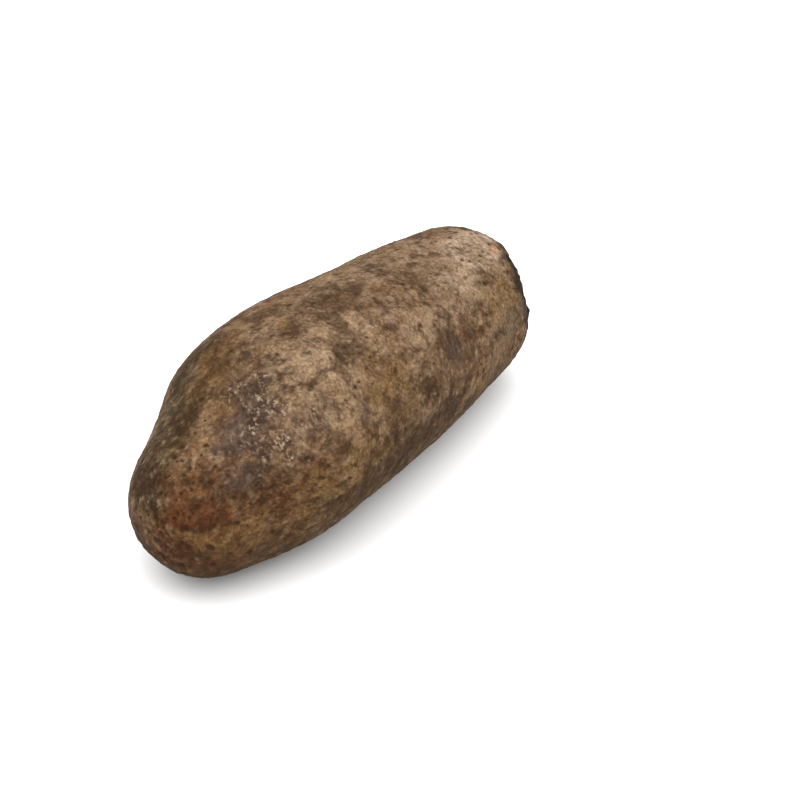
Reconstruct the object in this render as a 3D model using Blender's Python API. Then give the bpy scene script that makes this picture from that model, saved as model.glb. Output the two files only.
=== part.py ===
"""A whole yam tuber, lying on its belly.

Run it with: blender --background --python part.py
Units are metres, with +Z up. +X runs along the tuber, from the tail, which is
its growing tip, to the crown, where the vine was attached. The tuber rests on
the plane Z = 0, and the origin is in that plane, under the middle of its box.
"""

import math

import bmesh
import bpy
from mathutils import Vector, noise

# Driving dimensions.
LENGTH = 0.282
TAIL_CAP = 0.042  # length of the rounded tail, beyond the last full section
CROWN_CAP = 0.036  # the crown is blunter, so its rounding is shorter
TAIL_BLUNTNESS = 2.3  # exponent of each end's superellipse; 2 is a plain ellipse
CROWN_BLUNTNESS = 2.4
REST_DEPTH = 0.0012  # how much of the belly is pressed flat by lying on it

# Sections of the body, from tail to crown: share of the length, half width,
# half height, sideways offset of the centre, and clearance under the belly.
SECTIONS = (
    (0.00, 0.0370, 0.0345, -0.0004, 0.0055),
    (0.12, 0.0390, 0.0362, 0.0028, 0.0040),
    (0.18, 0.0456, 0.0428, 0.0000, 0.0024),
    (0.26, 0.0550, 0.0500, 0.0000, 0.0014),
    (0.36, 0.0560, 0.0520, 0.0015, 0.0006),
    (0.50, 0.0550, 0.0515, 0.0005, 0.0000),
    (0.64, 0.0512, 0.0483, -0.0006, 0.0008),
    (0.78, 0.0474, 0.0444, 0.0008, 0.0026),
    (0.90, 0.0434, 0.0404, 0.0014, 0.0044),
    (1.00, 0.0394, 0.0370, 0.0058, 0.0070),
)

# Lumps that a tuber grows as it pushes through soil.
LUMP_SIZE = 0.045
LUMP_HEIGHT = 0.0014
BELLY_EASE = (-0.95, -0.55)  # the normal's Z where the lumps fade out, towards the belly

# The crown's face, flattened and dished where the vine came away.
SCAR_TURN = math.radians(35)  # it looks this far off the length, towards -Y
SCAR_RISE = math.radians(12)  # and this far up
SCAR_CUT = 0.0058  # how far in from the outermost point it lies
SCAR_DISH = 0.0022

# Mesh density.
RINGS_ON_CAP = 12
RINGS_ON_BODY = 36
POINTS_ON_RING = 44

SKIN_COLOUR = (0.19, 0.12, 0.07, 1.0)
SKIN_ROUGHNESS = 0.85


def clear_scene():
    for obj in list(bpy.data.objects):
        bpy.data.objects.remove(obj)


def section_at(share):
    """Half width, half height, side offset and clearance at a share of the length."""
    last = len(SECTIONS) - 1
    i = max(k for k in range(last) if k == 0 or SECTIONS[k][0] <= share)
    before, start = SECTIONS[max(i - 1, 0)], SECTIONS[i]
    end, after = SECTIONS[i + 1], SECTIONS[min(i + 2, last)]
    span = end[0] - start[0]
    t = (share - start[0]) / span
    values = []
    for k in range(1, 5):
        slope_in = (end[k] - before[k]) / (end[0] - before[0]) * span
        slope_out = (after[k] - start[k]) / (after[0] - start[0]) * span
        values.append(
            (2 * t**3 - 3 * t**2 + 1) * start[k]
            + (t**3 - 2 * t**2 + t) * slope_in
            + (3 * t**2 - 2 * t**3) * end[k]
            + (t**3 - t**2) * slope_out
        )
    return values


def ring_places():
    """(X from the tail tip, share of the full section) of each ring, tip to tip."""
    places = []
    for k in range(1, RINGS_ON_CAP + 1):
        angle = math.pi / 2 * k / RINGS_ON_CAP
        places.append((
            TAIL_CAP * (1 - math.cos(angle) ** (2 / TAIL_BLUNTNESS)),
            math.sin(angle) ** (2 / TAIL_BLUNTNESS),
        ))
    body = LENGTH - TAIL_CAP - CROWN_CAP
    for k in range(1, RINGS_ON_BODY):
        places.append((TAIL_CAP + body * k / RINGS_ON_BODY, 1.0))
    for k in range(RINGS_ON_CAP, 0, -1):
        angle = math.pi / 2 * k / RINGS_ON_CAP
        places.append((
            LENGTH - CROWN_CAP * (1 - math.cos(angle) ** (2 / CROWN_BLUNTNESS)),
            math.sin(angle) ** (2 / CROWN_BLUNTNESS),
        ))
    return places


def axis_point(x):
    """The middle of the section at X, measured from the tail tip."""
    _, half_height, offset, clearance = section_at(x / LENGTH)
    return Vector((x, offset, half_height + clearance))


def surface_point(x, share, angle):
    half_width, half_height, _, _ = section_at(x / LENGTH)
    return axis_point(x) + Vector((
        0,
        share * half_width * math.cos(angle),
        share * half_height * math.sin(angle),
    ))


def lofted_tuber():
    """Rings of vertices bridged from tip to tip, with a single vertex at each tip."""
    bm = bmesh.new()
    tail = bm.verts.new(axis_point(0.0))
    crown = bm.verts.new(axis_point(LENGTH))
    loops = []
    for x, share in ring_places():
        ring = [
            bm.verts.new(surface_point(x, share, 2 * math.pi * k / POINTS_ON_RING))
            for k in range(POINTS_ON_RING)
        ]
        loops.append(ring)
    for near, far in zip(loops, loops[1:]):
        for k in range(POINTS_ON_RING):
            nxt = (k + 1) % POINTS_ON_RING
            bm.faces.new((near[k], far[k], far[nxt], near[nxt]))
    for k in range(POINTS_ON_RING):
        nxt = (k + 1) % POINTS_ON_RING
        bm.faces.new((tail, loops[0][k], loops[0][nxt]))
        bm.faces.new((crown, loops[-1][nxt], loops[-1][k]))
    bmesh.ops.recalc_face_normals(bm, faces=bm.faces)
    return bm


def grow_lumps(bm):
    """Pushes each vertex along its normal by smooth noise, less and less near the belly."""
    bm.normal_update()
    low, high = BELLY_EASE
    for vert in bm.verts:
        ease = min(max((vert.normal.z - low) / (high - low), 0), 1)
        vert.co += vert.normal * LUMP_HEIGHT * ease * noise.noise(vert.co / LUMP_SIZE)


def press_crown_scar(bm):
    """Flattens the crown's tip to a slightly turned face, and dishes it inside its rim."""
    facing = Vector((
        math.cos(SCAR_TURN) * math.cos(SCAR_RISE),
        -math.sin(SCAR_TURN) * math.cos(SCAR_RISE),
        math.sin(SCAR_RISE),
    ))
    level = max(facing.dot(vert.co) for vert in bm.verts) - SCAR_CUT
    bmesh.ops.bisect_plane(
        bm,
        geom=[*bm.verts, *bm.edges, *bm.faces],
        plane_co=facing * level,
        plane_no=facing,
    )
    for vert in bm.verts:
        rise = facing.dot(vert.co) - level
        if rise > 0:
            dish = math.sin(math.pi / 2 * rise / SCAR_CUT)
            vert.co -= facing * (rise + SCAR_DISH * dish)


def press_belly(bm):
    """Cuts the lowest part off level, and closes it with the flat resting spot."""
    lowest = min(vert.co.z for vert in bm.verts)
    level = lowest + REST_DEPTH
    cut = bmesh.ops.bisect_plane(
        bm,
        geom=[*bm.verts, *bm.edges, *bm.faces],
        plane_co=(0, 0, level),
        plane_no=(0, 0, -1),
        clear_outer=True,
    )
    rim = [e for e in cut["geom_cut"] if isinstance(e, bmesh.types.BMEdge)]
    bmesh.ops.contextual_create(bm, geom=rim)
    bmesh.ops.translate(bm, verts=bm.verts, vec=(0, 0, -level))


def centre_on_origin(bm):
    for axis in (0, 1):
        low = min(vert.co[axis] for vert in bm.verts)
        high = max(vert.co[axis] for vert in bm.verts)
        shift = Vector()
        shift[axis] = -(low + high) / 2
        bmesh.ops.translate(bm, verts=bm.verts, vec=shift)


def skin_material():
    material = bpy.data.materials.new("yam_skin")
    material.use_nodes = True
    shader = material.node_tree.nodes["Principled BSDF"]
    shader.inputs["Base Color"].default_value = SKIN_COLOUR
    shader.inputs["Roughness"].default_value = SKIN_ROUGHNESS
    shader.inputs["Metallic"].default_value = 0.0
    return material


def build_tuber():
    bm = lofted_tuber()
    grow_lumps(bm)
    press_crown_scar(bm)
    press_belly(bm)
    centre_on_origin(bm)
    mesh = bpy.data.meshes.new("yam_tuber")
    bm.to_mesh(mesh)
    bm.free()
    mesh.shade_smooth()
    mesh.materials.append(skin_material())
    tuber = bpy.data.objects.new("yam_tuber", mesh)
    bpy.context.scene.collection.objects.link(tuber)
    return tuber


clear_scene()
build_tuber()
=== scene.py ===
"""The looks of the yam tuber: its bark, modelled and coloured, on a pale studio floor.

The bark is one fine mesh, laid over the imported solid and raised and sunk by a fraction
of a millimetre to a few millimetres: lumps, lengthwise wrinkles, cracked cork plates,
root pits, a scuffed fold behind the tail, and the torn scar on the crown. Places on it
are given as a share of the length, from the tail at 0 to the crown at 1, and an angle
round the axis: 0 degrees faces +Y, 90 faces up and 180 faces -Y. Lengths are in metres.
"""

import math
from typing import NamedTuple

import bpy
import numpy as np
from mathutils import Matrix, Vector, noise
from mathutils.bvhtree import BVHTree
from mathutils.kdtree import KDTree


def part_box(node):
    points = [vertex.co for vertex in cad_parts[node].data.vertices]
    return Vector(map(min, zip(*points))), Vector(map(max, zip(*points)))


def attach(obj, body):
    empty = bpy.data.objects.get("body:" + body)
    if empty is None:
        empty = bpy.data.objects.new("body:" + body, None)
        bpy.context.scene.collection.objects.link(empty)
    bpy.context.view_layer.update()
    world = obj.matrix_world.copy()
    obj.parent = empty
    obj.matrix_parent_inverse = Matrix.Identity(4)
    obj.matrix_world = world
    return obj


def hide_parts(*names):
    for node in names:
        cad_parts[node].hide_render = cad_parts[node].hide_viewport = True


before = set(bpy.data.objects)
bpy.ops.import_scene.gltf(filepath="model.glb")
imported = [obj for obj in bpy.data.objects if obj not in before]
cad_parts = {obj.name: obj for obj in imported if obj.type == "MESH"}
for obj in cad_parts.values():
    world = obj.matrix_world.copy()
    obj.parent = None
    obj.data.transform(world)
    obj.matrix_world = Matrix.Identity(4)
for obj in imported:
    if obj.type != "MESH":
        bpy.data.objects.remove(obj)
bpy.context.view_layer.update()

NODE = "yam_tuber"

LOW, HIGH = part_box(NODE)
MIDDLE = (LOW + HIGH) / 2
LENGTH = HIGH.x - LOW.x
AXIS_HEIGHT = (HIGH.z - LOW.z) * 0.47  # angles are taken round a line at this height
MEAN_RADIUS = (HIGH.y - LOW.y) * 0.46  # turns an angle into a distance over the bark

# The bark's mesh: rings round the axis, from tip to tip.
POINTS_ON_RING = 360
RINGS_ON_CAP = 56
RINGS_ON_BODY = 158
CAP_INSET = 0.046  # how far in from each tip the rays start to fan out
SMOOTHING_PASSES = 22

# The camera, at the photograph's angle.
VIEW_AZIMUTH = math.radians(-55.7)
VIEW_ELEVATION = math.radians(33)
VIEW_DISTANCE = 1.0
VIEW_LENS = 91
VIEW_OFFSET = (0.0295, -0.0113)  # the aim, right of and below the tuber's middle


# ---------------------------------------------------------------- the bark's shape


def cast_rings():
    """Points on the solid as an array (ring, place on the ring, xyz), tip to tip."""
    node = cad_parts[NODE]
    tree = BVHTree.FromObject(node, bpy.context.evaluated_depsgraph_get())
    tail_end = Vector((LOW.x + CAP_INSET, 0, AXIS_HEIGHT))
    crown_end = Vector((HIGH.x - CAP_INSET, 0, AXIS_HEIGHT))
    starts = []
    for k in range(RINGS_ON_CAP + 1):
        starts.append((tail_end, math.pi * (1 - 0.5 * k / RINGS_ON_CAP)))
    for k in range(1, RINGS_ON_BODY):
        starts.append((tail_end.lerp(crown_end, k / RINGS_ON_BODY), math.pi / 2))
    for k in range(RINGS_ON_CAP, -1, -1):
        starts.append((crown_end, math.pi * 0.5 * k / RINGS_ON_CAP))
    grid = np.empty((len(starts), POINTS_ON_RING, 3))
    for i, (start, lean) in enumerate(starts):
        for j in range(POINTS_ON_RING):
            turn = 2 * math.pi * j / POINTS_ON_RING
            ray = Vector((
                math.cos(lean),
                math.sin(lean) * math.cos(turn),
                math.sin(lean) * math.sin(turn),
            ))
            grid[i, j] = tree.ray_cast(start, ray)[0]
    return grid


def smoothed(grid, passes):
    """Averages neighbours, which takes the solid's facets away."""
    for _ in range(passes):
        around = (np.roll(grid, 1, axis=1) + np.roll(grid, -1, axis=1)) / 2
        along = grid.copy()
        along[1:-1] = (grid[:-2] + grid[2:]) / 2
        grid = (2 * grid + around + along) / 4
        grid[0] = grid[1].mean(axis=0)
        grid[-1] = grid[-2].mean(axis=0)
    return grid


def normals_of(grid):
    """The outward direction at each point."""
    along = np.gradient(grid, axis=0)
    around = np.roll(grid, -1, axis=1) - np.roll(grid, 1, axis=1)
    normal = np.cross(around, along)
    length = np.linalg.norm(normal, axis=2, keepdims=True)
    normal = normal / np.maximum(length, 1e-12)
    normal[0] = (-1, 0, 0)
    normal[-1] = (1, 0, 0)
    return normal


def smooth_step(value, start, end):
    """0 at the start and 1 at the end, with soft corners."""
    t = np.clip((value - start) / (end - start), 0, 1)
    return t * t * (3 - 2 * t)


def bell(value, width):
    """1 where the value is 0, and falling off over that width to both sides."""
    return np.exp(-((value / width) ** 2))


PATCH_EDGE = (0.35, 1.1)  # a patch fades out between these shares of its half size


class Surface:
    """The bark's grid of points, with its coordinates along and round the tuber."""

    def __init__(self, grid):
        self.grid = grid
        self.shape = grid.shape[:2]
        self.share = (grid[..., 0] - LOW.x) / LENGTH
        self.angle = np.degrees(np.arctan2(grid[..., 2] - AXIS_HEIGHT, grid[..., 1]))
        self.normal = normals_of(grid)
        self.height = np.zeros(self.shape)
        self.masks = {}

    def noise(self, size, seed=0.0, stretch=1.0, octaves=1):
        """Smooth noise from about -1 to 1, with features of that size, drawn out along X by stretch."""
        scale = np.array((1 / (size * stretch), 1 / size, 1 / size))
        points = (self.grid * scale + seed * 7.31).reshape(-1, 3)
        if octaves == 1:
            values = [noise.noise(p) for p in points]
        else:
            values = [noise.fractal(p, 1.0, 2.0, octaves) for p in points]
        return np.array(values).reshape(self.shape)

    def cells(self, size, seed=0.0, stretch=1.0):
        """How far inside its cork plate each point is, 0 at the cracks, and a number for the plate."""
        scale = np.array((1 / (size * stretch), 1 / size, 1 / size))
        warp = self.noise(size * 0.8, seed + 0.5)[..., None] * (0.5, -0.4, 0.5)
        points = (self.grid * scale + seed * 7.31 + warp).reshape(-1, 3)
        inside = np.empty(len(points))
        pick = np.empty(len(points))
        for k, p in enumerate(points):
            near, places = noise.voronoi(p)
            inside[k] = near[1] - near[0]
            pick[k] = noise.cell(places[0] * 9.7)
        return inside.reshape(self.shape), pick.reshape(self.shape)

    def patch(self, spot):
        """A soft patch, 1 in its middle and 0 outside, with an uneven edge."""
        turn = (self.angle - spot.angle + 180) % 360 - 180
        away = np.hypot(
            (self.share - spot.share) * LENGTH / spot.along,
            np.radians(turn) * MEAN_RADIUS / spot.around,
        )
        return 1 - smooth_step(away + spot.ragged * self.ripple, *PATCH_EDGE)


def lay_bark():
    """The smooth bark, with a ripple that makes the edges of patches and folds uneven."""
    surface = Surface(smoothed(cast_rings(), SMOOTHING_PASSES))
    surface.ripple = surface.noise(0.010, seed=3, octaves=3)
    return surface


class Patch(NamedTuple):
    """A place on the bark: its middle, half its length and width, its strength, and how
    ragged its edge is."""

    share: float
    angle: float
    along: float
    around: float
    strength: float = 1.0
    ragged: float = 0.35


PATCHES = {
    "dust": (  # pale and dusty
        Patch(0.29, 116, 0.040, 0.026),
        Patch(0.25, 141, 0.022, 0.016, 0.8),
        Patch(0.41, 112, 0.040, 0.020, 0.7),
        Patch(0.58, 137, 0.034, 0.012),
        Patch(0.75, 132, 0.040, 0.018),
        Patch(0.84, 112, 0.050, 0.040),
        Patch(0.72, 112, 0.030, 0.020, 0.8),
        Patch(0.78, 169, 0.022, 0.013, 0.8),
        Patch(0.235, 176, 0.016, 0.010, 0.8, ragged=0.6),
        Patch(0.28, 83, 0.018, 0.012, 0.6, ragged=0.6),
        Patch(0.64, 84, 0.080, 0.020, 0.7),
        Patch(0.50, 152, 0.020, 0.010, 0.6),
        Patch(0.58, 12, 0.060, 0.024, 0.8),
        Patch(0.45, -130, 0.040, 0.020, 0.6),
    ),
    "bare": (  # rubbed smooth, dull purple
        Patch(0.150, 114, 0.020, 0.017),
        Patch(0.11, 146, 0.014, 0.015, 0.8),
        Patch(0.60, 155, 0.010, 0.008, 0.6),
        Patch(0.33, 152, 0.008, 0.008, 0.5),
        Patch(0.40, 30, 0.016, 0.012, 0.7),
    ),
    "stain_and_shadow": (  # dark brown
        Patch(0.215, 106, 0.010, 0.010),
        Patch(0.35, 96, 0.012, 0.007),
        Patch(0.66, 106, 0.022, 0.012, 0.6),
        Patch(0.62, 158, 0.018, 0.014, 0.35),
        # The next three, low on the flank that faces -Y, are partly real stain and partly painted
        # shadow.
        Patch(0.44, 166, 0.030, 0.012, 0.6, ragged=0.8),
        Patch(0.38, 183, 0.044, 0.014, ragged=0.8),
        Patch(0.52, 184, 0.040, 0.016, ragged=0.7),
        Patch(0.12, 158, 0.024, 0.015, 0.9),
        Patch(0.01, 36, 0.034, 0.034),
        Patch(0.15, 65, 0.020, 0.016, 0.7),
        Patch(0.24, 88, 0.030, 0.010, 0.6),
        Patch(0.47, 92, 0.030, 0.012, 0.6),
        Patch(0.75, 20, 0.030, 0.016, 0.7),
    ),
    "ochre": (  # yellow-brown
        Patch(0.28, 174, 0.034, 0.013, ragged=0.6),
        Patch(0.225, 180, 0.022, 0.016, ragged=0.6),
        Patch(0.42, 153, 0.024, 0.012, 0.8, ragged=0.6),
        Patch(0.20, 68, 0.026, 0.014, 0.7, ragged=0.6),
        Patch(0.06, 196, 0.026, 0.020, 0.7, ragged=0.6),
        Patch(0.82, 152, 0.030, 0.018, 0.6, ragged=0.6),
        Patch(0.66, -160, 0.040, 0.020, 0.6, ragged=0.6),
    ),
    "pale": (  # the palest, near the crown
        Patch(0.87, 110, 0.030, 0.022, ragged=0.6),
        Patch(0.72, 128, 0.022, 0.010, 0.6, ragged=0.6),
    ),
    "scuff": (  # torn and flaking, mostly behind the tail
        Patch(0.205, 102, 0.010, 0.014, ragged=0.7),
        Patch(0.180, 122, 0.011, 0.016, ragged=0.7),
        Patch(0.180, 145, 0.012, 0.014, 0.9, ragged=0.7),
        Patch(0.23, 140, 0.016, 0.012, 0.5, ragged=0.8),
        Patch(0.70, -20, 0.016, 0.012, 0.6),
    ),
    "warm": (  # reddish brown, mostly round the tail
        Patch(0.00, 180, 0.060, 0.110),
        Patch(0.13, 175, 0.050, 0.026),
        Patch(0.23, 71, 0.020, 0.012, 0.8),
        Patch(0.34, 188, 0.070, 0.014, 0.5, ragged=0.7),
        Patch(0.80, -40, 0.050, 0.030, 0.6),
    ),
    "red": (  # rust red
        Patch(0.02, 172, 0.022, 0.016),
        Patch(0.00, 228, 0.024, 0.040),
        Patch(0.00, 250, 0.020, 0.055, 0.9),
        Patch(0.01, 150, 0.020, 0.020, 0.7),
        Patch(0.13, 176, 0.016, 0.010, 0.8),
        Patch(0.03, -60, 0.030, 0.040, 0.7),
    ),
    "olive": (  # dark green-brown
        Patch(0.12, 52, 0.065, 0.030),
        Patch(0.02, 40, 0.036, 0.044),
        Patch(0.86, 172, 0.040, 0.012, 0.6),
        Patch(0.40, 188, 0.070, 0.012, 0.6, ragged=0.7),
        Patch(0.50, -60, 0.060, 0.026, 0.6),
    ),
    "wrinkle": (  # wrinkled lengthwise
        Patch(0.16, 172, 0.040, 0.022),
        Patch(0.10, 125, 0.026, 0.022, 0.7),
        Patch(0.70, 62, 0.085, 0.014, 0.35),
        Patch(0.20, -15, 0.050, 0.030, 0.8),
        Patch(0.85, -150, 0.040, 0.025, 0.6),
    ),
    "wound": (Patch(0.90, 121, 0.008, 0.006),),  # a small amber nick by the crown
}


def add_patches(s):
    """Where the bark is dusty, bare, stained, red or scuffed, as masks for shape and colour; the stains
    take in painted shadow on the lower flank, and a last mask holds painted shade over the underside.
    """
    for name, spots in PATCHES.items():
        s.masks[name] = np.maximum.reduce([s.patch(spot) * spot.strength for spot in spots])
    # Painted shade: how far the bark faces down, for darkening its underside.
    s.masks["belly"] = 1 - smooth_step(s.normal[..., 2] + 0.12 * s.ripple, -0.60, 0.22)


LUMPS = (  # size across, height, noise seed and octaves
    (0.030, 0.00035, 1, 1),
    (0.013, 0.00022, 2, 1),
    (0.0050, 0.00032, 4, 3),
)


def raise_lumps(s):
    for size, height, seed, octaves in LUMPS:
        s.height += height * s.noise(size, seed, octaves=octaves)


STREAK_HEIGHT = 0.00004  # of the lengthwise streaks on plain bark
WRINKLE_HEIGHT = 0.00052  # the same on wrinkled bark, where it is added
FINE_WRINKLE_HEIGHT = 0.00018


def raise_wrinkles(s):
    wrinkled = s.masks["wrinkle"]
    streaks = s.noise(0.0032, seed=5, stretch=9, octaves=2)
    fine = s.noise(0.0020, seed=6, stretch=6)
    s.height += (STREAK_HEIGHT + WRINKLE_HEIGHT * wrinkled) * streaks
    s.height += FINE_WRINKLE_HEIGHT * wrinkled * fine


PLATE_SIZE = 0.0050
PLATE_HEIGHT = 0.00020  # of a cork plate over its cracks
PLATE_UNEVENNESS = 0.00014  # between one plate and the next


def crack_cork(s):
    """Small plates of cork with cracks between them, weaker where the bark is rubbed smooth."""
    inside, pick = s.cells(PLATE_SIZE, seed=7, stretch=1.3)
    plate = smooth_step(inside, 0.02, 0.30)
    strength = smooth_step(s.noise(0.018, seed=8), -0.25, 0.35)
    strength *= 1 - 0.8 * s.masks["bare"]
    s.height += PLATE_HEIGHT * strength * (plate - 0.6) + PLATE_UNEVENNESS * strength * pick
    s.masks["crack"] = strength * (1 - plate)


TEAR_HEIGHT = 0.0007
TEAR_DEPTH = 0.0002


def tear_fold(s):
    """The fold behind the tail, scuffed rough."""
    torn = s.noise(0.0042, seed=9, stretch=0.5, octaves=2)
    s.height += s.masks["scuff"] * (TEAR_HEIGHT * torn - TEAR_DEPTH)


RELIEF_PASSES = 14  # of averaging with the neighbours, which gives the surroundings' level
RELIEF_RANGE = 0.0008  # the mask goes from 0 to 1 over this height


def mark_relief(s):
    """Where the bark stands above or below its surroundings, from 0 to 1, for wear and soil."""
    level = s.height
    for _ in range(RELIEF_PASSES):
        level = (2 * level + np.roll(level, 1, axis=1) + np.roll(level, -1, axis=1)) / 4
        level[1:-1] = (2 * level[1:-1] + level[:-2] + level[2:]) / 4
    s.masks["relief"] = np.clip(0.5 + (s.height - level) / RELIEF_RANGE, 0, 1)


class Fold(NamedTuple):
    """A groove, or a raised vein, through a few places, each a (share, angle)."""

    places: tuple
    height: float
    half_width: float


FOLDS = (
    Fold(((0.165, 150), (0.195, 155), (0.215, 161)), -0.0007, 0.0011),
    Fold(((0.20, 96), (0.175, 112), (0.18, 128)), -0.0006, 0.0020),
    Fold(((0.30, 8), (0.34, 24), (0.36, 44)), -0.0006, 0.0028),
    Fold(((0.80, 30), (0.76, 52), (0.77, 70)), -0.0006, 0.0018),
    Fold(((0.545, 126), (0.565, 136), (0.60, 132), (0.63, 137)), 0.0003, 0.0012),
    Fold(((0.565, 136), (0.555, 146)), 0.0003, 0.0012),
    Fold(((0.74, 120), (0.72, 130), (0.735, 140)), 0.0003, 0.0012),
)
FOLD_WANDER = 0.0030  # how far a fold strays from its straight spans


def fold_bark(s):
    s.masks["groove"] = np.zeros(s.shape)
    s.masks["vein"] = np.zeros(s.shape)
    for places, height, half_width in FOLDS:
        away, run = distance_to_line(s, places)
        ends = smooth_step(run, 0.0, 0.3) * smooth_step(run, 1.0, 0.7)
        line = ends * bell(away + FOLD_WANDER * s.ripple, half_width)
        s.height += height * line
        mask = "groove" if height < 0 else "vein"
        s.masks[mask] = np.maximum(s.masks[mask], line)


def distance_to_line(s, places):
    """Distance over the surface to a bent line through places of (share, angle), and how far
    along the line its nearest point lies, from 0 to 1."""
    x = s.share * LENGTH
    y = np.radians(s.angle % 360) * MEAN_RADIUS
    nearest = np.full(s.shape, 1.0)
    run = np.zeros(s.shape)
    spans = len(places) - 1
    for k in range(spans):
        (share_a, angle_a), (share_b, angle_b) = places[k : k + 2]
        ax, ay = share_a * LENGTH, math.radians(angle_a) * MEAN_RADIUS
        dx, dy = share_b * LENGTH - ax, math.radians(angle_b) * MEAN_RADIUS - ay
        t = np.clip(((x - ax) * dx + (y - ay) * dy) / (dx * dx + dy * dy), 0, 1)
        away = np.hypot(x - ax - t * dx, y - ay - t * dy)
        run = np.where(away < nearest, (k + t) / spans, run)
        nearest = np.minimum(nearest, away)
    return nearest, run


PIT_TRIES = 1500  # most fall where pits are sparse, and are left out
PIT_RADII = (0.0009, 0.0019)
PIT_REACH = 1.6  # the bowl fades out over this many radii
PIT_STEEPNESS = 2.2
PIT_DEPTH = 0.34  # of the radius
PIMPLE_HEIGHT = 0.20  # of the radius
SHARE_SUNK = 0.75  # the rest are pimples


def chance_of_pit(share):
    """Pits crowd on the tail, and there are a few more by the crown."""
    return 0.22 + 0.78 * (share < 0.13) + 0.3 * (share > 0.78)


def dig_pits(s):
    """Pits and pimples where fine roots grew."""
    rng = np.random.default_rng(5)
    flat = s.grid.reshape(-1, 3)
    tree = KDTree(len(flat))
    for k, point in enumerate(flat):
        tree.insert(point, k)
    tree.balance()
    pit = np.zeros(len(flat))
    pimple = np.zeros(len(flat))
    height = np.zeros(len(flat))
    share = s.share.reshape(-1)
    for _ in range(PIT_TRIES):
        ring = rng.integers(2, s.shape[0] - 2)
        place = ring * s.shape[1] + rng.integers(s.shape[1])
        radius = rng.uniform(*PIT_RADII)
        sunk = rng.random() < SHARE_SUNK
        if rng.random() > chance_of_pit(share[place]):
            continue
        for _, k, away in tree.find_range(flat[place], radius * PIT_REACH):
            bowl = math.exp(-((away / radius) ** 2) * PIT_STEEPNESS)
            if sunk:
                pit[k] = max(pit[k], bowl)
                height[k] -= bowl * radius * PIT_DEPTH
            else:
                pimple[k] = max(pimple[k], bowl)
                height[k] += bowl * radius * PIMPLE_HEIGHT
    s.height += height.reshape(s.shape)
    s.masks["pit"] = pit.reshape(s.shape)
    s.masks["pimple"] = pimple.reshape(s.shape)


SCAR_TURN = math.radians(35)  # the scar faces this far off the length, towards -Y,
SCAR_RISE = math.radians(12)  # and this far up
SCAR_FLATNESS = 0.0003  # the solid's points this near the scar's plane are its rim
SCAR_REACH = (-0.016, -0.009)  # behind the plane: the scar's marks fade in between these
SHOULDER_REACH = (-0.024, -0.008)
SCAR_WOBBLE = 0.0022
RIM_HEIGHT = 0.0034
RIM_WIDTH = 0.0022
FIBRES = 17  # lobes of torn fibre round the dish
FIBRE_HEIGHT = 0.0004
DISH_ROUGHNESS = 0.0012
STUB_HEIGHT = 0.0034
STUB_AT = (-0.003, 0.001)  # across and up from the scar's middle
SHOULDER_WIDTH = 0.0070
SHOULDER_WEAR = 0.0009  # the mean round the scar
SHOULDER_TILT = 0.0017  # more of it on one side, and less on the other
SHOULDER_TURN = 4.5  # radians round the scar to where it is worn most, close to its lowest point
MOAT_INSET = 0.0032  # a narrow dip just inside the rim
MOAT_WIDTH = 0.0014
MOAT_DEPTH = 0.0011
BAND_WANDER = 0.0030  # how far the dark band strays from the rim
BAND_SHIFT = 0.0032  # and how much further out it reaches where it reaches furthest,
BAND_TURN = 2.5  # above and on the -Y side: radians round the scar


class Scar:
    """Where each point of the bark lies against the crown's scar, which is flat on the solid."""

    def __init__(self, s):
        level = math.cos(SCAR_RISE)
        facing = np.array((
            math.cos(SCAR_TURN) * level,
            -math.sin(SCAR_TURN) * level,
            math.sin(SCAR_RISE),
        ))
        across = np.array((math.sin(SCAR_TURN), math.cos(SCAR_TURN), 0.0))
        upward = np.cross(facing, across)
        solid = np.array([v.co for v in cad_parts[NODE].data.vertices])
        depth = (solid @ facing).max() - solid @ facing
        rim = solid[depth < SCAR_FLATNESS]
        centre = rim.mean(axis=0)
        rim_turn = np.arctan2((rim - centre) @ upward, (rim - centre) @ across)
        order = np.argsort(rim_turn)
        rim_reach = np.linalg.norm(rim - centre, axis=1)[order]
        out = s.grid - centre
        side, up = out @ across, out @ upward
        wobble = SCAR_WOBBLE * s.noise(0.008, seed=11, octaves=2)
        self.front = out @ facing
        self.turn = np.arctan2(up, side)
        self.near = smooth_step(self.front, *SCAR_REACH)
        self.away = np.hypot(side, up) + wobble
        radius = np.interp(self.turn, rim_turn[order], rim_reach, period=2 * math.pi)
        self.beyond = self.away - radius  # outside the rim, and negative inside it
        self.dish = 1 - smooth_step(self.beyond, -0.0035, -0.0005)
        from_stub = np.hypot(side - STUB_AT[0], up - STUB_AT[1]) + wobble
        self.stub = 1 - smooth_step(from_stub, 0.002, 0.0075)


def tear_crown(s, scar):
    """The scar where the vine broke off: a ragged rim round a rough, fibrous dish with a stub in it."""
    torn = 0.5 + 0.5 * s.noise(0.0075, seed=12) + 0.35 * s.noise(0.0030, seed=17)
    fibres = np.sin(scar.turn * FIBRES + 5 * s.noise(0.006, seed=13))
    fibres *= smooth_step(scar.away, 0.004, 0.010)
    rough = s.noise(0.0050, seed=14, octaves=3)
    s.height += scar.near * bell(scar.beyond, RIM_WIDTH) * RIM_HEIGHT * (torn - 0.55)
    s.height += scar.near * scar.dish * (FIBRE_HEIGHT * fibres + DISH_ROUGHNESS * rough)
    s.height += scar.near * scar.stub * STUB_HEIGHT * (0.6 + 0.6 * torn)
    shoulder = smooth_step(scar.front, *SHOULDER_REACH) * bell(scar.beyond, SHOULDER_WIDTH)
    s.height -= shoulder * (SHOULDER_WEAR + SHOULDER_TILT * np.cos(scar.turn - SHOULDER_TURN))
    s.height -= scar.near * bell(scar.beyond + MOAT_INSET, MOAT_WIDTH) * MOAT_DEPTH


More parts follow.
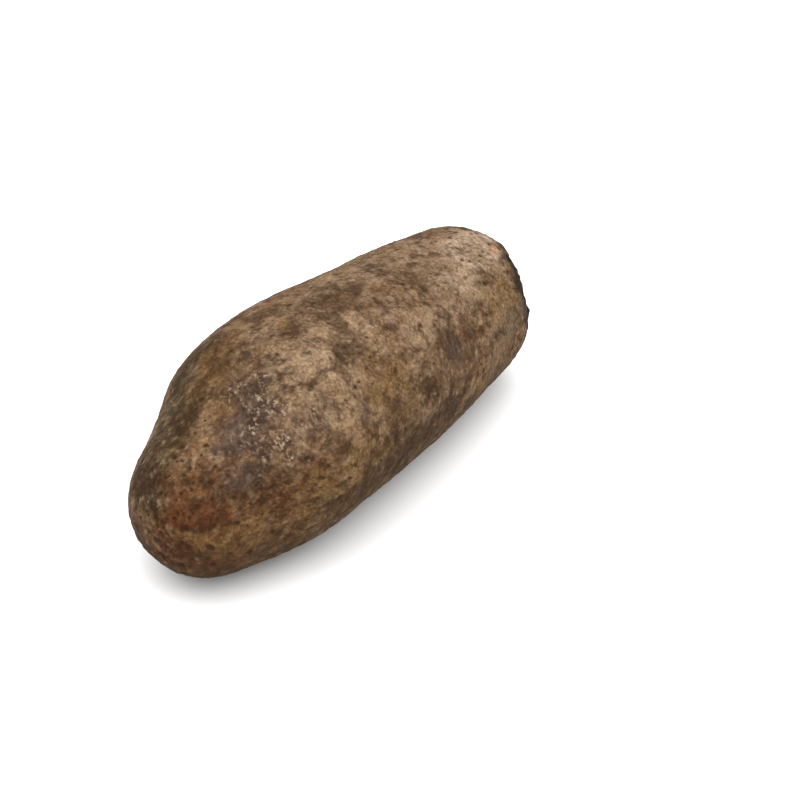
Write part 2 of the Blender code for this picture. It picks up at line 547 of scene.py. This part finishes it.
def char_crown(s, scar):
    """Where the scar's cork, its stub and the dark band over its rim are."""
    beyond = scar.beyond + BAND_WANDER * s.noise(0.0080, seed=15, octaves=3)
    beyond -= BAND_SHIFT * np.maximum(np.cos(scar.turn - BAND_TURN), 0)
    band = smooth_step(beyond, -0.0060, -0.0015) * smooth_step(beyond, 0.0085, 0.0020)
    s.masks["crown"] = scar.near * scar.dish
    s.masks["rim"] = scar.near * band
    s.masks["stub"] = scar.near * scar.stub


def shape_bark():
    """The bark with its masks, and its final points: the grid, moved along its normals."""
    s = lay_bark()
    add_patches(s)
    raise_lumps(s)
    raise_wrinkles(s)
    crack_cork(s)
    tear_fold(s)
    fold_bark(s)
    dig_pits(s)
    scar = Scar(s)
    tear_crown(s, scar)
    char_crown(s, scar)
    mark_relief(s)
    final = s.grid + s.normal * s.height[..., None]
    final[..., 2] = np.maximum(final[..., 2], LOW.z)  # nothing sinks into the floor
    final[0] = final[0].mean(axis=0)
    final[-1] = final[-1].mean(axis=0)
    return s, final


# ---------------------------------------------------------------- the bark's mesh


def ring_faces(rings, points):
    """Faces over the grid, each a list of (ring, place) corners. Places run on past the seam."""
    faces = []
    last = rings - 1
    for j in range(points):
        faces.append(((0, j + 0.5), (1, j + 1), (1, j)))
    for i in range(1, last - 1):
        for j in range(points):
            faces.append(((i, j), (i, j + 1), (i + 1, j + 1), (i + 1, j)))
    for j in range(points):
        faces.append(((last, j + 0.5), (last - 1, j), (last - 1, j + 1)))
    return faces


def vertex_at(ring, place, rings, points):
    """Vertex 0 is the tail's tip and the last one is the crown's."""
    if ring == 0:
        return 0
    if ring == rings - 1:
        return 1 + (rings - 2) * points
    return 1 + (ring - 1) * points + place % points


DISC_RADIUS = 0.2
TAIL_DISC = (0.25, 0.21)
CROWN_DISC = (0.75, 0.21)
STRIP_CORNER = (0.005, 0.43)
STRIP_SIZE = (0.99, 0.56)


def unwrap(mesh, faces, rings, points):
    """Flattens the bark to three islands: a strip for the body and a disc for each cap."""
    spots = []
    for corners in faces:
        middle = sum(ring for ring, _ in corners) / len(corners)
        for ring, place in corners:
            turn = 2 * math.pi * place / points
            if middle < RINGS_ON_CAP:
                reach = DISC_RADIUS * ring / RINGS_ON_CAP
                spots.append(TAIL_DISC[0] + reach * math.cos(turn))
                spots.append(TAIL_DISC[1] + reach * math.sin(turn))
            elif middle > rings - 1 - RINGS_ON_CAP:
                reach = DISC_RADIUS * (rings - 1 - ring) / RINGS_ON_CAP
                spots.append(CROWN_DISC[0] - reach * math.cos(turn))
                spots.append(CROWN_DISC[1] + reach * math.sin(turn))
            else:
                run = (ring - RINGS_ON_CAP) / RINGS_ON_BODY
                spots.append(STRIP_CORNER[0] + STRIP_SIZE[0] * place / points)
                spots.append(STRIP_CORNER[1] + STRIP_SIZE[1] * run)
    mesh.uv_layers.new(name="OFBake").uv.foreach_set("vector", spots)


def as_vertices(values):
    """A grid's values in vertex order, with one value for each tip."""
    return np.concatenate([values[:1, 0], values[1:-1].reshape(-1, *values.shape[2:]), values[-1:, 0]])


def build_bark():
    """The bark as an object, with its masks as attributes for the material to read."""
    s, final = shape_bark()
    mesh = bpy.data.meshes.new("yam_bark")
    faces = ring_faces(*s.shape)
    mesh.from_pydata(
        as_vertices(final).tolist(),
        [],
        [[vertex_at(*corner, *s.shape) for corner in corners] for corners in faces],
    )
    unwrap(mesh, faces, *s.shape)
    mesh.shade_smooth()
    for name, values in s.masks.items():
        layer = mesh.attributes.new(name, "FLOAT", "POINT")
        layer.data.foreach_set("value", as_vertices(values).astype(np.float32))
    bark = bpy.data.objects.new("yam_bark", mesh)
    bpy.context.scene.collection.objects.link(bark)
    return bark


# ---------------------------------------------------------------- the bark's material


class Shader:
    """Short calls for building a node tree."""

    def __init__(self, name):
        self.material = bpy.data.materials.new(name)
        self.material.use_nodes = True
        self.tree = self.material.node_tree
        self.bsdf = self.tree.nodes["Principled BSDF"]

    def node(self, kind, inputs, output=0, **settings):
        made = self.tree.nodes.new(kind)
        for key, value in settings.items():
            setattr(made, key, value)
        for key, value in inputs.items():
            self.feed(made.inputs[key], value)
        return made.outputs[output]

    def feed(self, socket, value):
        if isinstance(value, bpy.types.NodeSocket):
            self.tree.links.new(value, socket)
        else:
            socket.default_value = value

    def mask(self, name):
        """One of the surface's masks, which the mesh carries as attributes."""
        return self.node("ShaderNodeAttribute", {}, output="Fac", attribute_name=name)

    def place(self, stretch=1.0, shift=0.0):
        """Object coordinates in metres, squeezed along X so that what reads them is stretched."""
        coords = self.node("ShaderNodeTexCoord", {}, output="Object")
        return self.node(
            "ShaderNodeMapping",
            {"Vector": coords, "Scale": (1 / stretch, 1, 1), "Location": (shift, shift, shift)},
        )

    def noise(self, size, detail=3.0, rough=0.5, stretch=1.0, shift=0.0):
        """Noise from 0 to 1 with features of that size. Another shift gives another pattern."""
        return self.node(
            "ShaderNodeTexNoise",
            {
                "Vector": self.place(stretch, shift),
                "Scale": 1 / size,
                "Detail": detail,
                "Roughness": rough,
            },
        )

    def veins(self, size, shift=0.0):
        """0 along wandering lines, rising to each side of them."""
        return self.math("ABSOLUTE", self.math("SUBTRACT", self.noise(size, 5, 0.6, shift=shift), 0.5))

    def clouds(self, under, over, strength, size, span, shift, detail=4, rough=0.6):
        """Lays a colour over another in clouds, where noise of that size rises through the span."""
        share = self.ramp(self.noise(size, detail, rough, shift=shift), *span, 0, strength)
        return self.mix(share, under, over)

    def tint(self, under, over, strength, mask, size, span, shift, least=0.0):
        """Lays a colour over another where the mask is, broken up by noise of that size."""
        broken = self.ramp(self.noise(size, 4, 0.65, shift=shift), *span, least, strength)
        return self.mix(self.times(self.mask(mask), broken), under, over)

    def cover(self, under, over, strength, mask):
        """Lays a colour over another where the mask is."""
        return self.mix(self.times(self.mask(mask), strength), under, over)

    def ramp(self, value, start, end, low=0.0, high=1.0):
        """Goes smoothly from low to high as the value goes from start to end."""
        return self.node(
            "ShaderNodeMapRange",
            {"Value": value, "From Min": start, "From Max": end, "To Min": low, "To Max": high},
            interpolation_type="SMOOTHSTEP",
        )

    def math(self, operation, a, b=0.0):
        return self.node("ShaderNodeMath", {0: a, 1: b}, operation=operation)

    def times(self, a, b):
        return self.math("MULTIPLY", a, b)

    def mix(self, share, a, b, blend="MIX"):
        """Colour a with that share of colour b over it."""
        return self.node(
            "ShaderNodeMix",
            {0: share, 6: a, 7: b},
            output=2,
            data_type="RGBA",
            blend_type=blend,
        )

    def bump(self, height, depth, after=None):
        """A bump of that depth in metres, on top of the one before it."""
        inputs = {"Height": height, "Distance": depth, "Strength": 1.0}
        if after:
            inputs["Normal"] = after
        return self.node("ShaderNodeBump", inputs)


BROWN = (0.088, 0.045, 0.019, 1)
TAN = (0.172, 0.102, 0.051, 1)
DUST = (0.222, 0.148, 0.088, 1)
UMBER = (0.026, 0.012, 0.005, 1)
OCHRE = (0.125, 0.064, 0.020, 1)
SIENNA = (0.096, 0.039, 0.013, 1)
RUST = (0.052, 0.013, 0.004, 1)
OLIVE = (0.042, 0.030, 0.013, 1)
PLUM = (0.036, 0.020, 0.015, 1)
PLUM_GREY = (0.052, 0.034, 0.028, 1)
AMBER_BROWN = (0.140, 0.080, 0.029, 1)
PALE = (0.300, 0.215, 0.146, 1)
AMBER = (0.300, 0.120, 0.032, 1)
CREAM = (0.400, 0.290, 0.185, 1)
# the colour of the painted shade under the tuber
UNDERSIDE_SHADE = (0.036, 0.019, 0.006, 1)
MAUVE = (0.138, 0.086, 0.060, 1)
SOOT = (0.009, 0.006, 0.004, 1)


def bark_colour(m):
    """Brown cork, mottled at several sizes, with each mask's own colour laid over it, and painted shade
    over the underside.
    """
    colour = m.clouds(BROWN, TAN, 1.0, 0.026, (0.38, 0.62), shift=1, detail=5, rough=0.65)
    colour = m.clouds(colour, OCHRE, 0.60, 0.017, (0.50, 0.70), shift=2)
    colour = m.clouds(colour, MAUVE, 0.55, 0.0130, (0.50, 0.66), shift=22)
    colour = m.clouds(colour, DUST, 0.58, 0.0115, (0.50, 0.66), shift=23, detail=3, rough=0.5)
    colour = m.tint(colour, DUST, 0.90, "dust", 0.006, (0.25, 0.60), shift=3, least=0.4)
    colour = m.tint(colour, OLIVE, 0.90, "olive", 0.012, (0.20, 0.52), shift=15, least=0.3)
    colour = m.tint(colour, SIENNA, 0.92, "warm", 0.009, (0.20, 0.50), shift=18, least=0.35)
    colour = m.tint(colour, RUST, 0.85, "red", 0.006, (0.28, 0.52), shift=4)
    colour = m.tint(colour, AMBER_BROWN, 0.90, "ochre", 0.010, (0.25, 0.55), shift=24, least=0.45)
    colour = m.clouds(colour, UMBER, 0.66, 0.0140, (0.50, 0.64), shift=20, rough=0.55)
    colour = m.clouds(colour, UMBER, 0.60, 0.0075, (0.50, 0.66), shift=5, detail=5, rough=0.7)
    # Dark brown stains, and on the lower flank painted shadow.
    colour = m.tint(colour, UMBER, 0.80, "stain_and_shadow", 0.005, (0.28, 0.58), shift=6, least=0.2)
    colour = m.cover(colour, PLUM_GREY, 0.85, "bare")
    colour = m.tint(colour, PALE, 0.90, "pale", 0.006, (0.25, 0.60), shift=25, least=0.4)
    streak = m.ramp(m.noise(0.0022, 3, 0.6, stretch=9, shift=7), 0.45, 0.65)
    colour = m.mix(m.times(m.times(streak, m.mask("wrinkle")), 0.40), colour, TAN)
    # Painted shade: the underside darkened, more where the bark faces further down.
    colour = m.cover(colour, UNDERSIDE_SHADE, 0.72, "belly")
    return m.tint(colour, AMBER, 0.65, "wound", 0.003, (0.3, 0.6), shift=16)


GRAIN_SIZE = 0.0017
GRAIN_WANDER = 0.0016  # how far the grains are pushed out of line
WANDER_SIZE = 0.0024
CRACKLE_SIZE = 0.0075  # of the net of fine dark lines


def granules(m):
    """The cork's grain: 1 in the middle of each grain, and about 0.3 in the gaps."""
    wander = m.node(
        "ShaderNodeTexNoise",
        {"Vector": m.place(), "Scale": 1 / WANDER_SIZE, "Detail": 2.0, "Roughness": 0.6},
        output="Color",
    )
    places = m.node(
        "ShaderNodeVectorMath",
        {0: wander, 1: (GRAIN_WANDER,) * 3, 2: m.place()},
        operation="MULTIPLY_ADD",
    )
    grain = m.node(
        "ShaderNodeTexVoronoi",
        {"Vector": places, "Scale": 1 / GRAIN_SIZE, "Randomness": 1.0},
        output="Distance",
    )
    return m.math("SUBTRACT", 1.0, grain)


def flakes(m):
    """Torn flakes of bark, in clusters, where it is scuffed."""
    torn = m.ramp(m.noise(0.0021, 2, 0.5, stretch=0.7, shift=17), 0.47, 0.70)
    cluster = m.ramp(m.noise(0.0075, 3, 0.5, shift=26), 0.38, 0.58, 0.15, 1.0)
    return m.times(m.times(torn, cluster), m.ramp(m.mask("scuff"), 0.10, 0.80))


def bark_grain(m, colour):
    """Worn high spots, soil in the hollows, and fine specks, cracks and pits over the broad colours."""
    blotch = m.noise(0.0050, 4, 0.65, shift=19)
    plain = m.ramp(m.mask("warm"), 0, 1, 1.0, 0.35)  # the tail wears less pale than the rest
    colour = m.mix(m.ramp(blotch, 0.48, 0.68, 0, 0.50), colour, UMBER)
    colour = m.mix(m.times(m.ramp(blotch, 0.48, 0.30, 0, 0.32), plain), colour, DUST)
    colour = m.mix(m.ramp(m.mask("relief"), 0.45, 0.15, 0, 0.65), colour, UMBER)
    worn = m.ramp(m.mask("relief"), 0.58, 0.90, 0, 0.40)
    colour = m.mix(m.times(worn, plain), colour, DUST)
    colour = m.clouds(colour, UMBER, 0.35, 0.0021, (0.50, 0.68), shift=8, detail=3)
    colour = m.mix(1.0, colour, m.ramp(granules(m), 0.25, 0.80, 0.84, 1.24), "MULTIPLY")
    crackle = m.veins(CRACKLE_SIZE, shift=10)
    colour = m.mix(m.ramp(crackle, 0.0, 0.035, 0.12, 0.0), colour, UMBER)
    colour = m.cover(colour, UMBER, 0.30, "crack")
    colour = m.tint(colour, PLUM, 0.75, "scuff", 0.006, (0.30, 0.60), shift=27, least=0.3)
    colour = m.tint(colour, UMBER, 0.50, "groove", 0.004, (0.35, 0.60), shift=30)
    colour = m.cover(colour, DUST, 0.30, "vein")
    colour = m.cover(colour, UMBER, 0.80, "pit")
    colour = m.cover(colour, DUST, 0.28, "pimple")
    return m.mix(m.times(flakes(m), 0.60), colour, CREAM)


def scar_colour(m, colour):
    """Dark cork in the crown's dish, a paler stub, and soot over the rim."""
    cork = m.clouds(UMBER, BROWN, 1.0, 0.003, (0.42, 0.70), shift=11, rough=0.7)
    cork = m.mix(m.ramp(m.mask("relief"), 0.55, 0.00, 0, 0.45), cork, UMBER)
    colour = m.cover(colour, cork, 0.90, "crown")
    colour = m.tint(colour, TAN, 0.80, "stub", 0.002, (0.35, 0.60), shift=29, least=0.3)
    return m.tint(colour, SOOT, 0.97, "rim", 0.0045, (0.34, 0.56), shift=28, least=0.45)


def bark_bumps(m):
    """Relief too fine for the mesh: soft dimples, grains, crackle, flakes and fine wrinkles."""
    normal = m.bump(m.noise(0.0026, 2, 0.5, shift=13), 0.0006)
    normal = m.bump(granules(m), 0.0003, normal)
    normal = m.bump(m.ramp(m.veins(CRACKLE_SIZE, shift=10), 0.0, 0.05), 0.0002, normal)
    normal = m.bump(flakes(m), 0.0004, normal)
    fine = m.noise(0.0017, 2, 0.6, stretch=6, shift=14)
    return m.bump(m.times(fine, m.ramp(m.mask("wrinkle"), 0, 1)), 0.0007, normal)


def bark_material():
    m = Shader("yam_bark")
    colour = scar_colour(m, bark_grain(m, bark_colour(m)))
    m.feed(m.bsdf.inputs["Base Color"], colour)
    m.feed(m.bsdf.inputs["Roughness"], m.ramp(m.noise(0.004, 3, shift=12), 0.3, 0.7, 0.72, 0.95))
    m.feed(m.bsdf.inputs["Normal"], bark_bumps(m))
    m.bsdf.inputs["Specular IOR Level"].default_value = 0.07
    return m.material


# ---------------------------------------------------------------- studio


FLOOR_SIDE = 12
FLOOR_WHITE = (0.84, 0.84, 0.84, 1)
SKY_WHITE = (1, 1, 1, 1)
SKY_STRENGTH = 1.12


def plain_material(name, colour, roughness):
    material = bpy.data.materials.new(name)
    material.use_nodes = True
    shader = material.node_tree.nodes["Principled BSDF"]
    shader.inputs["Base Color"].default_value = colour
    shader.inputs["Roughness"].default_value = roughness
    return material


def add_floor():
    bpy.ops.mesh.primitive_plane_add(size=FLOOR_SIDE, location=(0, 0, LOW.z))
    floor = bpy.context.object
    floor.name = "studio_floor"
    floor.data.materials.append(plain_material("studio_white", FLOOR_WHITE, roughness=0.9))


def add_world():
    world = bpy.data.worlds.new("studio_world")
    world.use_nodes = True
    background = world.node_tree.nodes["Background"]
    background.inputs["Color"].default_value = SKY_WHITE
    background.inputs["Strength"].default_value = SKY_STRENGTH
    bpy.context.scene.world = world


def view_direction(azimuth, elevation):
    """From the tuber towards a camera or light at these angles; azimuth 0 is on the -Y side."""
    return Vector((
        math.sin(azimuth) * math.cos(elevation),
        -math.cos(azimuth) * math.cos(elevation),
        math.sin(elevation),
    ))


def add_softbox(name, turn, elevation, distance, size, power):
    """A round area light aimed at the tuber, turned round it from the camera's side by degrees."""
    light = bpy.data.lights.new(name, "AREA")
    light.shape = "DISK"
    light.size = size
    light.energy = power
    lamp = bpy.data.objects.new(name, light)
    direction = view_direction(VIEW_AZIMUTH + math.radians(turn), math.radians(elevation))
    lamp.location = MIDDLE + direction * distance
    lamp.rotation_euler = (-direction).to_track_quat("-Z", "Y").to_euler()
    bpy.context.scene.collection.objects.link(lamp)


def add_camera():
    camera = bpy.data.objects.new("camera", bpy.data.cameras.new("camera"))
    camera.data.lens = VIEW_LENS
    back = view_direction(VIEW_AZIMUTH, VIEW_ELEVATION)
    facing = (-back).to_track_quat("-Z", "Y")
    camera.rotation_euler = facing.to_euler()
    aim = MIDDLE + facing @ Vector((VIEW_OFFSET[0], VIEW_OFFSET[1], 0))
    camera.location = aim + back * VIEW_DISTANCE
    bpy.context.scene.collection.objects.link(camera)
    bpy.context.scene.camera = camera


bark = build_bark()
bark.data.materials.append(bark_material())
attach(bark, "root")
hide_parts(NODE)

add_floor()
add_world()
add_softbox("key_softbox", turn=15, elevation=76, distance=1.8, size=3.4, power=70)
add_camera()
bpy.context.scene.view_settings.view_transform = "Standard"
